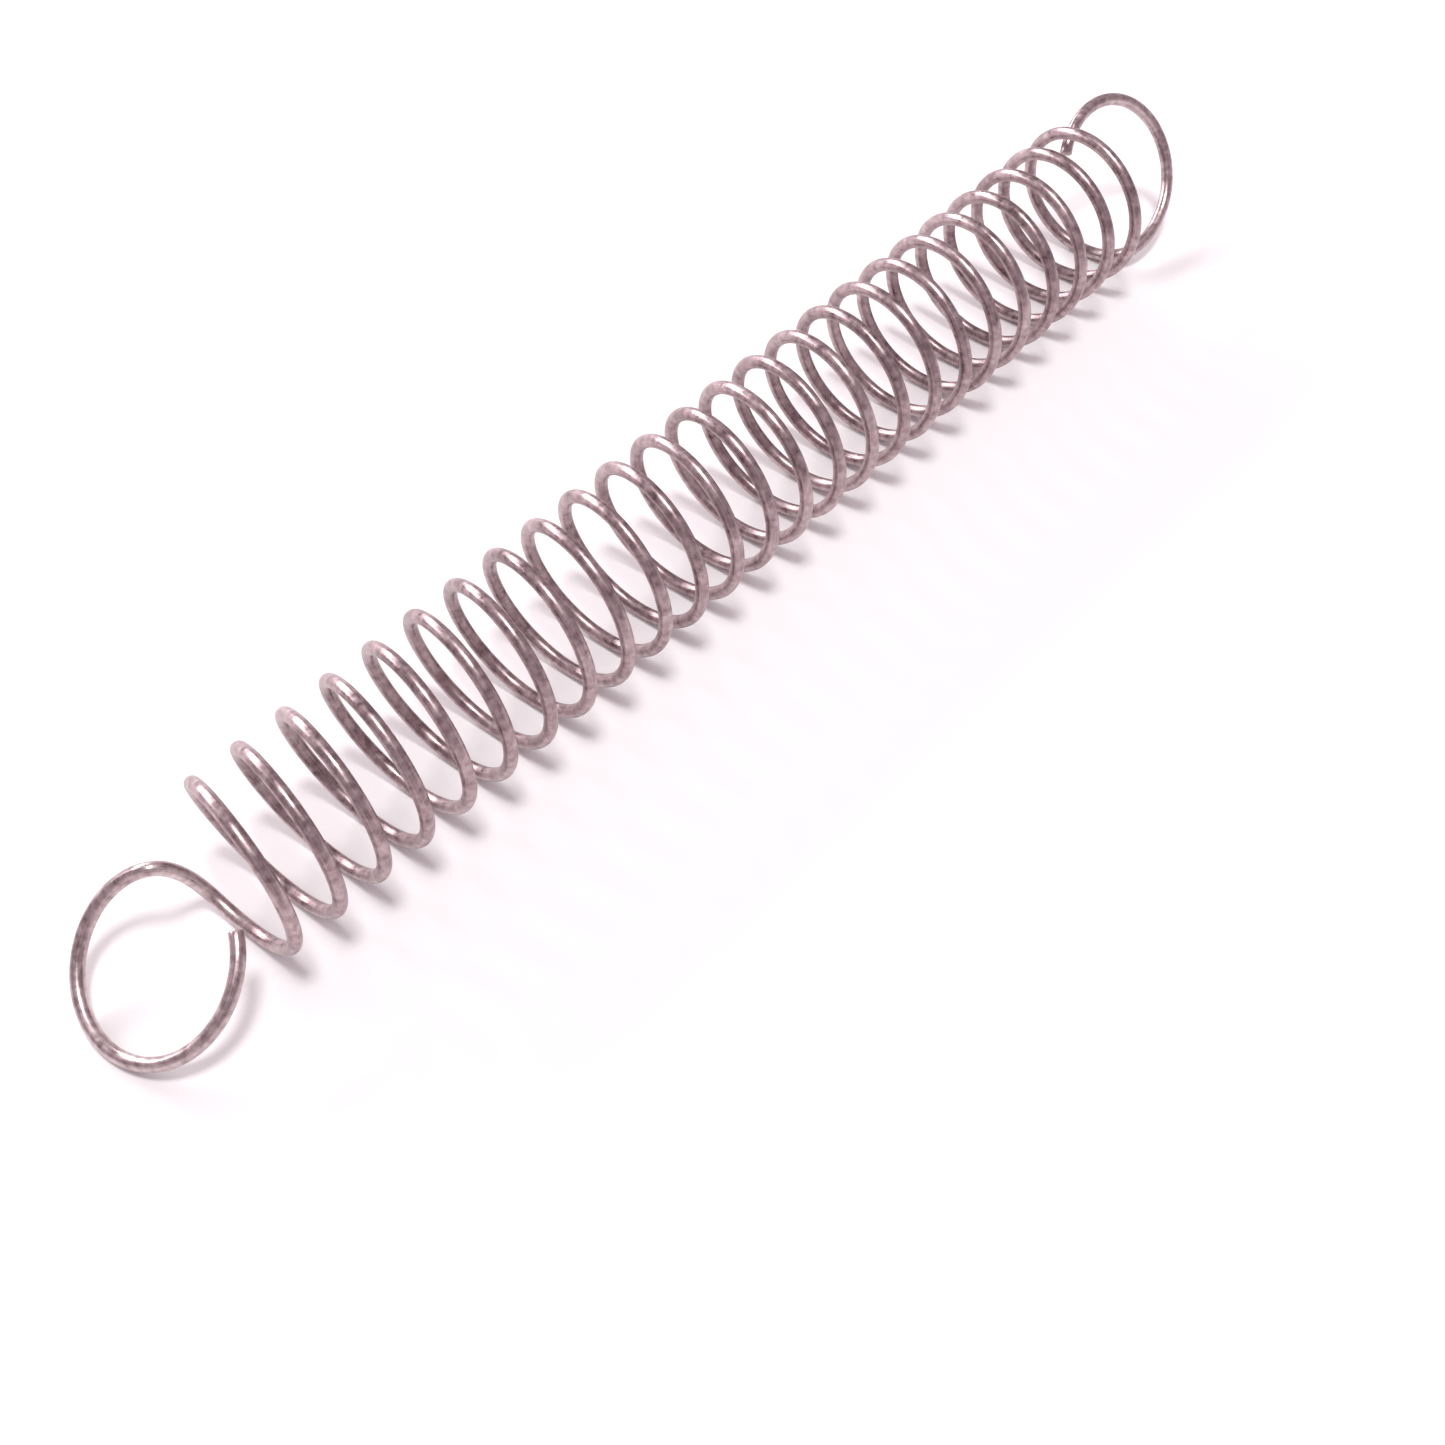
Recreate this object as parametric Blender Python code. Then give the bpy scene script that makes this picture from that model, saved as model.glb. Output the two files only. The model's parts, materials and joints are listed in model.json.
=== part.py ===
"""Extension coil spring: one left-hand wound wire with a loop at each end.

The coil's axis runs along +X, from the front loop to the rear hook, and the
spring lies on the plane Z = 0. A wire spring stretches because its wire
twists, so the wire is modelled as the half turns between its lowest and
highest points. Each half turn is one object, whose origin is the point of
the wire where it twists against the half turn before it.
"""

import math

import bpy
from mathutils import Vector

# Driving sizes, in metres
WIRE_RADIUS = 0.00085
COIL_RADIUS = 0.01025  # coil axis to the middle of the wire
PITCH = 0.0062
TURNS = 25
COIL_START_X = -0.0756  # puts the middle of the overall length at X = 0
JOINT_GAP = 0.0003  # between the ends of two neighbouring lengths of wire

# Fineness
SIDES_PER_TURN = 20  # the coil is a polygon drawn round its true circle
SIDE_ANGLE = 2 * math.pi / SIDES_PER_TURN
BEND_POINTS = 8
BEND_REACH = 1.2  # how far a bend runs straight on, as a share of its length

# Front loop: most of a turn, tilted, its low side just off the ground
FRONT_CENTRE = (-0.0114, 0.0, 0.00675)  # from the coil's first lowest point
FRONT_NORMAL = (-0.53, 0.0, 0.848)
FRONT_RADIUS = 0.0104
FRONT_LEAVES_COIL = math.radians(-25)
FRONT_BEGINS = math.radians(50)
FRONT_ENDS = math.radians(327)
FRONT_CLIMB = -0.0026  # along the normal in one turn, so downwards

# Rear hook: over half a turn, standing up
REAR_CENTRE = (0.0055, 0.0, 0.01035)  # from the coil's last lowest point
REAR_NORMAL = (-0.03, -0.81, 0.585)
REAR_RADIUS = 0.0103
REAR_LEAVES_COIL = math.radians(20)
REAR_BEGINS = math.radians(-56)
REAR_ENDS = math.radians(137)
REAR_CLIMB = 0.0

AXIS_Z = WIRE_RADIUS + COIL_RADIUS
X_AXIS = Vector((1.0, 0.0, 0.0))


def wire_steel(name, colour, roughness):
    """Bare drawn spring steel."""
    material = bpy.data.materials.new(name)
    material.use_nodes = True
    shader = material.node_tree.nodes["Principled BSDF"]
    shader.inputs["Base Color"].default_value = (*colour, 1.0)
    shader.inputs["Metallic"].default_value = 1.0
    shader.inputs["Roughness"].default_value = roughness
    return material


def coil_point(angle, radius=COIL_RADIUS):
    """A point of the helix. The angle is 0 at the first lowest point."""
    x = COIL_START_X + PITCH * angle / (2 * math.pi)
    return Vector((x, -radius * math.sin(angle), AXIS_Z - radius * math.cos(angle)))


def coil_direction(angle):
    """The direction the wire runs in as the angle grows."""
    rise = PITCH / (2 * math.pi)
    along = (rise, -COIL_RADIUS * math.cos(angle), COIL_RADIUS * math.sin(angle))
    return Vector(along).normalized()


def coil_corner(angle):
    """A corner of the polygon whose sides touch the coil's true circle."""
    return coil_point(angle, COIL_RADIUS / math.cos(SIDE_ANGLE / 2))


class Loop:
    """A ring of wire that climbs slightly along its own normal."""

    def __init__(self, foot, centre, normal, radius, climb):
        self.centre = foot + Vector(centre)
        self.normal = Vector(normal).normalized()
        self.across = (X_AXIS - self.normal * self.normal.x).normalized()
        self.up = self.normal.cross(self.across)
        self.radius = radius
        self.rise = climb / (2 * math.pi)

    def point(self, angle):
        ring = self.across * math.cos(angle) + self.up * math.sin(angle)
        return self.centre + ring * self.radius + self.normal * self.rise * angle

    def direction(self, angle):
        turn = self.up * math.cos(angle) - self.across * math.sin(angle)
        return (turn * self.radius + self.normal * self.rise).normalized()


def bend(start, start_direction, end, end_direction):
    """Points strictly between two ends of a smooth bend."""
    reach = (end - start).length * BEND_REACH
    points = []
    for i in range(1, BEND_POINTS):
        s = i / BEND_POINTS
        points.append(
            start * (2 * s**3 - 3 * s**2 + 1)
            + start_direction * reach * (s**3 - 2 * s**2 + s)
            + end * (3 * s**2 - 2 * s**3)
            + end_direction * reach * (s**3 - s**2)
        )
    return points


def arc_angles(first, last):
    """Even angles from first to last, no wider apart than the coil's sides."""
    count = math.ceil(abs(last - first) / SIDE_ANGLE)
    return [first + (last - first) * i / count for i in range(count + 1)]


def end_route(foot_angle, way, leave, loop, begin, end):
    """Wire from the coil's end at foot_angle out to the tip of a loop.

    way is +1 where the wire leaves in the direction of growing angle, and
    -1 where it leaves the other way.
    """
    foot = coil_point(foot_angle)
    first = foot + coil_direction(foot_angle) * way * JOINT_GAP / 2
    corners = abs(leave) // SIDE_ANGLE
    route = [first]
    for i in range(int(corners)):
        route.append(coil_corner(foot_angle + way * SIDE_ANGLE * (i + 0.5)))
    leave_angle = foot_angle + leave
    start = coil_point(leave_angle)
    route.append(start)
    route += bend(
        start,
        coil_direction(leave_angle) * way,
        loop.point(begin),
        loop.direction(begin),
    )
    return route + [loop.point(angle) for angle in arc_angles(begin, end)]


def half_turn_route(start_angle):
    """Wire between a lowest and a highest point, short of both by half a gap."""
    end_angle = start_angle + math.pi
    half_gap = JOINT_GAP / 2
    route = [coil_point(start_angle) + coil_direction(start_angle) * half_gap]
    for i in range(SIDES_PER_TURN // 2):
        route.append(coil_corner(start_angle + SIDE_ANGLE * (i + 0.5)))
    route.append(coil_point(end_angle) - coil_direction(end_angle) * half_gap)
    return route


def add_wire(name, route, origin, material, collection, parent=None, parent_origin=None):
    """A round wire along a route, with its origin at the given point."""
    curve = bpy.data.curves.new(name, "CURVE")
    curve.dimensions = "3D"
    curve.bevel_depth = WIRE_RADIUS
    curve.bevel_resolution = 2
    curve.use_fill_caps = True
    spline = curve.splines.new("POLY")
    spline.points.add(len(route) - 1)
    for point, place in zip(spline.points, route):
        point.co = (*(place - origin), 1.0)
    curve.materials.append(material)
    wire = bpy.data.objects.new(name, curve)
    collection.objects.link(wire)
    if parent:
        wire.parent = parent
        wire.location = origin - parent_origin
    else:
        wire.location = origin
    return wire


def build():
    for leftover in list(bpy.data.objects):
        bpy.data.objects.remove(leftover, do_unlink=True)
    collection = bpy.data.collections.new("coil_spring")
    bpy.context.scene.collection.children.link(collection)
    coil_steel = wire_steel("coil_steel", (0.36, 0.31, 0.32), 0.34)
    loop_steel = wire_steel("loop_steel", (0.42, 0.36, 0.37), 0.30)

    first_foot = coil_point(0.0)
    front = Loop(first_foot, FRONT_CENTRE, FRONT_NORMAL, FRONT_RADIUS, FRONT_CLIMB)
    front_route = end_route(0.0, -1, FRONT_LEAVES_COIL, front, FRONT_BEGINS, FRONT_ENDS)
    previous = add_wire("front_loop", front_route, first_foot, loop_steel, collection)
    previous_origin = first_foot

    for turn in range(TURNS):
        for half, side in enumerate(("rise", "fall")):
            start_angle = 2 * math.pi * turn + math.pi * half
            origin = coil_point(start_angle)
            previous = add_wire(
                f"turn_{turn + 1:02d}_{side}",
                half_turn_route(start_angle),
                origin,
                coil_steel,
                collection,
                previous,
                previous_origin,
            )
            previous_origin = origin

    last_angle = 2 * math.pi * TURNS
    last_foot = coil_point(last_angle)
    rear = Loop(last_foot, REAR_CENTRE, REAR_NORMAL, REAR_RADIUS, REAR_CLIMB)
    rear_route = end_route(last_angle, 1, REAR_LEAVES_COIL, rear, REAR_BEGINS, REAR_ENDS)
    add_wire(
        "rear_hook",
        rear_route,
        last_foot,
        loop_steel,
        collection,
        previous,
        previous_origin,
    )


build()
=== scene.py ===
"""Looks of the extension coil spring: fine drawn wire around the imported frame."""

import json
import math

import bmesh
import bpy
from mathutils import Matrix, Vector


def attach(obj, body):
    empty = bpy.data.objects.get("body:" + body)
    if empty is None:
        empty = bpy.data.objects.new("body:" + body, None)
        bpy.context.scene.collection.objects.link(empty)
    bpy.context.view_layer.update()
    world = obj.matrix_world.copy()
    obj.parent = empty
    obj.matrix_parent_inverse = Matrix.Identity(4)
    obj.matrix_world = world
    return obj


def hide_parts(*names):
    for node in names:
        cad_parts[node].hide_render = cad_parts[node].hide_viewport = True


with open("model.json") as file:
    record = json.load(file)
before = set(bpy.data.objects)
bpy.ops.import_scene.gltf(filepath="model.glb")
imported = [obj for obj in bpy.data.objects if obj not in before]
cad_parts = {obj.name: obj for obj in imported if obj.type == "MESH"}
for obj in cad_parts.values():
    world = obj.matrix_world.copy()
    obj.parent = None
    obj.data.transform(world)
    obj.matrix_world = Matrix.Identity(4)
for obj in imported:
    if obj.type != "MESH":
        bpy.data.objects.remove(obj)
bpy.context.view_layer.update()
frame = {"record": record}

# ---------------------------------------------------------------- frame sizes
JOINTS = {joint["child"]: joint for joint in frame["record"]["behaviour"]["joints"]}
MOUNTS = {mount["name"]: mount for mount in frame["record"]["mounts"]}
FIRST_FOOT = Vector(JOINTS["turn_01_rise"]["pos_m"])
FIRST_CREST = Vector(JOINTS["turn_01_fall"]["pos_m"])
LAST_FOOT = Vector(JOINTS["rear_hook"]["pos_m"])
COIL_RADIUS = (FIRST_CREST.z - FIRST_FOOT.z) / 2
PITCH = (FIRST_CREST.x - FIRST_FOOT.x) * 2
TURNS = round((LAST_FOOT.x - FIRST_FOOT.x) / PITCH)
AXIS_Z = FIRST_FOOT.z + COIL_RADIUS
WIRE_RADIUS = FIRST_FOOT.z
HALF_TURN_LENGTH = math.hypot(math.pi * COIL_RADIUS, PITCH / 2)

# The loops' shape: angles run round each ring from its +X side
FRONT_RADIUS = 0.0104
FRONT_LEAVES_COIL = math.radians(-25)
FRONT_BEGINS = math.radians(50)
FRONT_ENDS = math.radians(327)
FRONT_CLIMB = -0.0026
REAR_RADIUS = 0.0103
REAR_LEAVES_COIL = math.radians(20)
REAR_BEGINS = math.radians(-56)
REAR_ENDS = math.radians(137)
BEND_REACH = 1.2  # how far a bend runs straight on, as a share of its length

# Fineness of the wire's surface
SIDES = 24
STEP = 0.0006  # along the wire
LEAVE_POINTS = 24  # points of a loop's route before they are evened out
BEND_POINTS = 40
RING_POINTS = 120
SHARP_ANGLE = math.radians(50)

# The dome that fills a bend between two lengths of wire: just inside the wire
DOME_RINGS = 4
DOME_SHRINK = 0.989

X_AXIS = Vector((1.0, 0.0, 0.0))


# --------------------------------------------------------------------- routes
def coil_point(angle):
    """A point of the helix. The angle is 0 at the first lowest point."""
    x = FIRST_FOOT.x + PITCH * angle / (2 * math.pi)
    y = -COIL_RADIUS * math.sin(angle)
    return Vector((x, y, AXIS_Z - COIL_RADIUS * math.cos(angle)))


def coil_direction(angle):
    """The direction the wire runs in as the angle grows."""
    rise = PITCH / (2 * math.pi)
    along = (rise, -COIL_RADIUS * math.cos(angle), COIL_RADIUS * math.sin(angle))
    return Vector(along).normalized()


class Loop:
    """A ring of wire that climbs slightly along its own normal."""

    def __init__(self, mount, radius, climb=0.0):
        self.centre = Vector(mount["pos_m"])
        self.normal = Vector(mount["axis"]).normalized()
        self.across = (X_AXIS - self.normal * self.normal.x).normalized()
        self.up = self.normal.cross(self.across)
        self.radius = radius
        self.rise = climb / (2 * math.pi)

    def point(self, angle):
        ring = self.across * math.cos(angle) + self.up * math.sin(angle)
        return self.centre + ring * self.radius + self.normal * self.rise * angle

    def direction(self, angle):
        turn = self.up * math.cos(angle) - self.across * math.sin(angle)
        return (turn * self.radius + self.normal * self.rise).normalized()


def bend(start, start_direction, end, end_direction):
    """Points strictly between two ends of a smooth bend."""
    reach = (end - start).length * BEND_REACH
    points = []
    for i in range(1, BEND_POINTS):
        s = i / BEND_POINTS
        points.append(
            start * (2 * s**3 - 3 * s**2 + 1)
            + start_direction * reach * (s**3 - 2 * s**2 + s)
            + end * (3 * s**2 - 2 * s**3)
            + end_direction * reach * (s**3 - s**2)
        )
    return points


def spread(first, last, count):
    """Even values from first to last, both included."""
    return [first + (last - first) * i / count for i in range(count + 1)]


def end_route(foot_angle, leave, loop, begin, end):
    """Wire from the coil's end at foot_angle out to the tip of a loop."""
    way = math.copysign(1, leave)
    leave_angle = foot_angle + leave
    route = [coil_point(angle) for angle in spread(foot_angle, leave_angle, LEAVE_POINTS)]
    route += bend(
        route[-1],
        coil_direction(leave_angle) * way,
        loop.point(begin),
        loop.direction(begin),
    )
    return route + [loop.point(angle) for angle in spread(begin, end, RING_POINTS)]


def even(route):
    """The same route with points about STEP apart."""
    lengths = [0.0]
    for a, b in zip(route, route[1:]):
        lengths.append(lengths[-1] + (b - a).length)
    count = round(lengths[-1] / STEP)
    points, k = [], 0
    for i in range(count + 1):
        target = lengths[-1] * i / count
        while k < len(route) - 2 and lengths[k + 1] < target:
            k += 1
        share = (target - lengths[k]) / (lengths[k + 1] - lengths[k])
        points.append(route[k].lerp(route[k + 1], min(max(share, 0.0), 1.0)))
    return points


def directions(points):
    """Unit tangents of a polyline."""
    result = []
    for i in range(len(points)):
        a, b = points[max(i - 1, 0)], points[min(i + 1, len(points) - 1)]
        result.append((b - a).normalized())
    return result


# ----------------------------------------------------------------- wire meshes
def sweep(name, points, tangents, first_normal, start_length, way, caps):
    """A closed tube whose length grows by way, +1 or -1, from start_length.

    Every vertex carries its place on the straight wire, as (cos, sin, length
    along the wire in metres), so that drawing lines run on through a bend.
    """
    bm = bmesh.new()
    straight = bm.verts.layers.float_vector.new("straight")
    normal = (first_normal - tangents[0] * first_normal.dot(tangents[0])).normalized()
    rings, length = [], start_length
    for i, (point, tangent) in enumerate(zip(points, tangents)):
        if i:
            normal = (tangents[i - 1].rotation_difference(tangent) @ normal).normalized()
            normal = (normal - tangent * normal.dot(tangent)).normalized()
            length += way * (point - points[i - 1]).length
        rings.append((point, tangent, normal, tangent.cross(normal), length))

    def ring_of(point, normal, side, length, radius, shift=Vector()):
        ring = []
        for k in range(SIDES):
            angle = 2 * math.pi * k / SIDES
            out = normal * math.cos(angle) + side * math.sin(angle)
            vert = bm.verts.new(point + shift + out * radius)
            vert[straight] = Vector((math.cos(angle), math.sin(angle), length))
            ring.append(vert)
        return ring

    def bridge(a, b):
        for k in range(SIDES):
            bm.faces.new((a[k], a[(k + 1) % SIDES], b[(k + 1) % SIDES], b[k]))

    body = [ring_of(p, n, s, at, WIRE_RADIUS) for p, t, n, s, at in rings]
    for a, b in zip(body, body[1:]):
        bridge(a, b)
    for kind, (point, tangent, normal, side, at), ring, out in (
        (caps[0], rings[0], body[0], -1),
        (caps[1], rings[-1], body[-1], 1),
    ):
        for radius, reach in cap_profile(kind):
            outer = ring_of(
                point, normal, side, at, WIRE_RADIUS * radius, tangent * out * reach
            )
            bridge(ring, outer) if out > 0 else bridge(outer, ring)
            ring = outer
        bm.faces.new(ring if out > 0 else ring[::-1])
    bmesh.ops.recalc_face_normals(bm, faces=bm.faces)
    mesh = bpy.data.meshes.new(name)
    bm.to_mesh(mesh)
    bm.free()
    mesh.shade_smooth()
    mesh.set_sharp_from_angle(angle=SHARP_ANGLE)
    piece = bpy.data.objects.new(name, mesh)
    bpy.context.scene.collection.objects.link(piece)
    return piece


# (share of the wire's radius, reach beyond the end) of a cap's rings, in order
FLAT_END = [(0.9, 0.0)]
SHEARED_END = [(0.97, 0.00005), (0.90, 0.00011), (0.80, 0.00014), (0.40, 0.00017)]


def cap_profile(kind):
    """The rings of a flat, domed or sheared end."""
    if kind == "flat":
        return FLAT_END
    if kind == "dome":
        quarter = [math.pi / 2 * i / DOME_RINGS for i in range(DOME_RINGS)]
        round_part = [
            (DOME_SHRINK * math.cos(a), DOME_SHRINK * WIRE_RADIUS * math.sin(a))
            for a in quarter
        ]
        return round_part + [(0.05, DOME_SHRINK * WIRE_RADIUS)]
    return SHEARED_END


# ------------------------------------------------------------------- materials
# Noise scales. The drawing lines' are per (cos, sin, metre) of the straight wire
DRAWING_LINES = (9.0, 9.0, 90.0)
PATCHES = (900.0, 900.0, 900.0)
CLOUDS = (95.0, 95.0, 95.0)
SMOOTHEST = 0.24
ROUGHEST = 0.46
LINE_DEPTH = 0.00003


def wire_steel(name, dark, middle, light):
    """Bare drawn spring wire: lines along it and a mottled patina."""
    material = bpy.data.materials.new(name)
    material.use_nodes = True
    nodes, links = material.node_tree.nodes, material.node_tree.links
    shader = nodes["Principled BSDF"]
    shader.inputs["Metallic"].default_value = 1.0

    place = nodes.new("ShaderNodeAttribute")
    place.attribute_name = "straight"
    around = nodes.new("ShaderNodeTexCoord")

    def stretched_noise(origin, scale, detail):
        mapping = nodes.new("ShaderNodeMapping")
        mapping.inputs["Scale"].default_value = scale
        noise = nodes.new("ShaderNodeTexNoise")
        noise.inputs["Scale"].default_value = 1.0
        noise.inputs["Detail"].default_value = detail
        noise.inputs["Roughness"].default_value = 0.6
        links.new(origin, mapping.inputs["Vector"])
        links.new(mapping.outputs["Vector"], noise.inputs["Vector"])
        return noise.outputs["Fac"]

    def add_share(output, share, rest=None):
        """The output times its share, plus the rest."""
        node = nodes.new("ShaderNodeMath")
        node.operation = "MULTIPLY_ADD" if rest else "MULTIPLY"
        links.new(output, node.inputs[0])
        node.inputs[1].default_value = share
        if rest:
            links.new(rest, node.inputs[2])
        return node.outputs[0]

    lines = stretched_noise(place.outputs["Vector"], DRAWING_LINES, 4.0)
    patches = stretched_noise(around.outputs["Object"], PATCHES, 6.0)
    clouds = stretched_noise(around.outputs["Object"], CLOUDS, 3.0)
    blend = add_share(patches, 0.55, add_share(clouds, 0.30))
    blend = add_share(lines, 0.25, blend)

    ramp = nodes.new("ShaderNodeValToRGB")
    links.new(blend, ramp.inputs["Fac"])
    stops = ramp.color_ramp.elements
    stops[0].position, stops[0].color = 0.40, (*dark, 1)
    stops[1].position, stops[1].color = 0.70, (*light, 1)
    stop = stops.new(0.54)
    stop.color = (*middle, 1)

    links.new(ramp.outputs["Color"], shader.inputs["Base Color"])

    rough = nodes.new("ShaderNodeMapRange")
    links.new(add_share(patches, 0.6, add_share(lines, 0.4)), rough.inputs["Value"])
    rough.inputs["From Min"].default_value = 0.35
    rough.inputs["From Max"].default_value = 0.65
    rough.inputs["To Min"].default_value = SMOOTHEST
    rough.inputs["To Max"].default_value = ROUGHEST
    links.new(rough.outputs["Result"], shader.inputs["Roughness"])

    bump = nodes.new("ShaderNodeBump")
    bump.inputs["Strength"].default_value = 0.5
    bump.inputs["Distance"].default_value = LINE_DEPTH
    links.new(add_share(lines, 0.7, add_share(patches, 0.5)), bump.inputs["Height"])
    links.new(bump.outputs["Normal"], shader.inputs["Normal"])
    return material


def floor_paper():
    """White seamless paper with a faint tooth."""
    material = bpy.data.materials.new("floor_paper")
    material.use_nodes = True
    nodes, links = material.node_tree.nodes, material.node_tree.links
    shader = nodes["Principled BSDF"]
    shader.inputs["Base Color"].default_value = (0.93, 0.92, 0.925, 1)
    shader.inputs["Roughness"].default_value = 0.85
    shader.inputs["Specular IOR Level"].default_value = 0.2
    noise = nodes.new("ShaderNodeTexNoise")
    noise.inputs["Scale"].default_value = 900
    bump = nodes.new("ShaderNodeBump")
    bump.inputs["Strength"].default_value = 0.08
    bump.inputs["Distance"].default_value = 0.0001
    links.new(noise.outputs["Fac"], bump.inputs["Height"])
    links.new(bump.outputs["Normal"], shader.inputs["Normal"])
    return material


COIL_STEEL = wire_steel(
    "coil_steel",
    dark=(0.18, 0.128, 0.136),
    middle=(0.41, 0.31, 0.325),
    light=(0.66, 0.55, 0.56),
)
# The loops use a copy of the coil's steel that is painted lighter. This is painted light
# that stands in for the loops catching more light; it is not a different finish.
PAINTED_LIGHTER_LOOP_STEEL = wire_steel(
    "loop_steel",
    dark=(0.22, 0.163, 0.170),
    middle=(0.48, 0.38, 0.39),
    light=(0.76, 0.66, 0.665),
)


# ------------------------------------------------------------------ the spring
def finish_piece(piece, node, material):
    piece.data.materials.append(material)
    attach(piece, node)
    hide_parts(node)


def outward(angle):
    """From the coil's axis towards the wire."""
    return Vector((0.0, -math.sin(angle), -math.cos(angle)))


def add_half_turns():
    for turn in range(TURNS):
        for half, side in enumerate(("rise", "fall")):
            start = 2 * math.pi * turn + math.pi * half
            count = round(HALF_TURN_LENGTH / STEP)
            angles = spread(start, start + math.pi, count)
            node = f"turn_{turn + 1:02d}_{side}"
            piece = sweep(
                node + "_wire",
                [coil_point(angle) for angle in angles],
                [coil_direction(angle) for angle in angles],
                outward(start),
                HALF_TURN_LENGTH * (2 * turn + half),
                1,
                ("dome", "flat"),
            )
            finish_piece(piece, node, COIL_STEEL)


def add_end(node, route, foot_angle, way, inner_cap):
    points = even(route)
    tangents = directions(points)
    tangents[0] = coil_direction(foot_angle) * way
    foot_length = HALF_TURN_LENGTH * foot_angle / math.pi
    piece = sweep(
        node + "_wire",
        points,
        tangents,
        outward(foot_angle),
        foot_length,
        way,
        (inner_cap, "sheared"),
    )
    finish_piece(piece, node, PAINTED_LIGHTER_LOOP_STEEL)


def add_ends():
    front = Loop(MOUNTS["front_loop_eye"], FRONT_RADIUS, FRONT_CLIMB)
    route = end_route(0.0, FRONT_LEAVES_COIL, front, FRONT_BEGINS, FRONT_ENDS)
    add_end("front_loop", route, 0.0, -1, "flat")

    rear = Loop(MOUNTS["rear_hook_eye"], REAR_RADIUS)
    last = 2 * math.pi * TURNS
    route = end_route(last, REAR_LEAVES_COIL, rear, REAR_BEGINS, REAR_ENDS)
    add_end("rear_hook", route, last, 1, "dome")


add_half_turns()
add_ends()


# ---------------------------------------------------------------------- studio
FLOOR_SIZE = 4.0
FLOOR_GAP = 0.00002  # keeps the wire's lowest line off the floor's surface
CENTRE = (0.0, 0.0, 0.0)


def add_floor():
    mesh = bpy.data.meshes.new("floor")
    bm = bmesh.new()
    bmesh.ops.create_grid(bm, x_segments=2, y_segments=2, size=FLOOR_SIZE)
    bm.to_mesh(mesh)
    bm.free()
    floor = bpy.data.objects.new("floor", mesh)
    floor.location.z = -FLOOR_GAP
    floor.data.materials.append(floor_paper())
    bpy.context.scene.collection.objects.link(floor)


def aim(thing, place, target, roll=0.0):
    """Puts a lamp or camera at a place, looking at a target."""
    direction = (Vector(target) - Vector(place)).normalized()
    turn = direction.to_track_quat("-Z", "Y").to_matrix().to_4x4()
    thing.matrix_world = Matrix.Translation(place) @ turn @ Matrix.Rotation(roll, 4, "Z")


def add_softbox(name, place, size, watts, colour):
    """A rectangular lamp that faces the spring."""
    light = bpy.data.lights.new(name, "AREA")
    light.shape = "RECTANGLE"
    light.size, light.size_y = size
    light.energy = watts
    light.color = colour
    lamp = bpy.data.objects.new(name, light)
    bpy.context.scene.collection.objects.link(lamp)
    aim(lamp, place, CENTRE)


def add_world():
    """Faintly pink light from all round, and a white floor left white."""
    world = bpy.data.worlds.new("studio")
    world.use_nodes = True
    sky = world.node_tree.nodes["Background"]
    sky.inputs["Color"].default_value = (1.0, 0.85, 0.92, 1)
    sky.inputs["Strength"].default_value = 0.50
    bpy.context.scene.world = world
    bpy.context.scene.view_settings.view_transform = "Standard"


CAMERA_PLACE = (-0.1012, -0.1086, 0.1673)
CAMERA_AZIMUTH = math.radians(42.74)
CAMERA_DOWN = math.radians(54.07)
CAMERA_ROLL = math.radians(-4.23)
CAMERA_LENS = 42.45


def add_camera():
    camera_data = bpy.data.cameras.new("camera")
    camera_data.lens = CAMERA_LENS
    camera_data.sensor_width = 36.0
    camera_data.clip_start = 0.005
    camera_data.clip_end = 20.0
    camera = bpy.data.objects.new("camera", camera_data)
    bpy.context.scene.collection.objects.link(camera)
    ahead = Vector((
        math.sin(CAMERA_AZIMUTH) * math.cos(CAMERA_DOWN),
        math.cos(CAMERA_AZIMUTH) * math.cos(CAMERA_DOWN),
        -math.sin(CAMERA_DOWN),
    ))
    place = Vector(CAMERA_PLACE)
    aim(camera, place, place + ahead, CAMERA_ROLL)
    bpy.context.scene.camera = camera


add_floor()
add_world()
add_softbox("overhead", (-0.03, -0.09, 0.84), (0.18, 0.18), 3.7, (1.0, 0.99, 0.98))
add_softbox("behind", (-0.03, 0.78, 0.40), (0.90, 0.16), 6.2, (1.0, 0.97, 0.98))
add_camera()
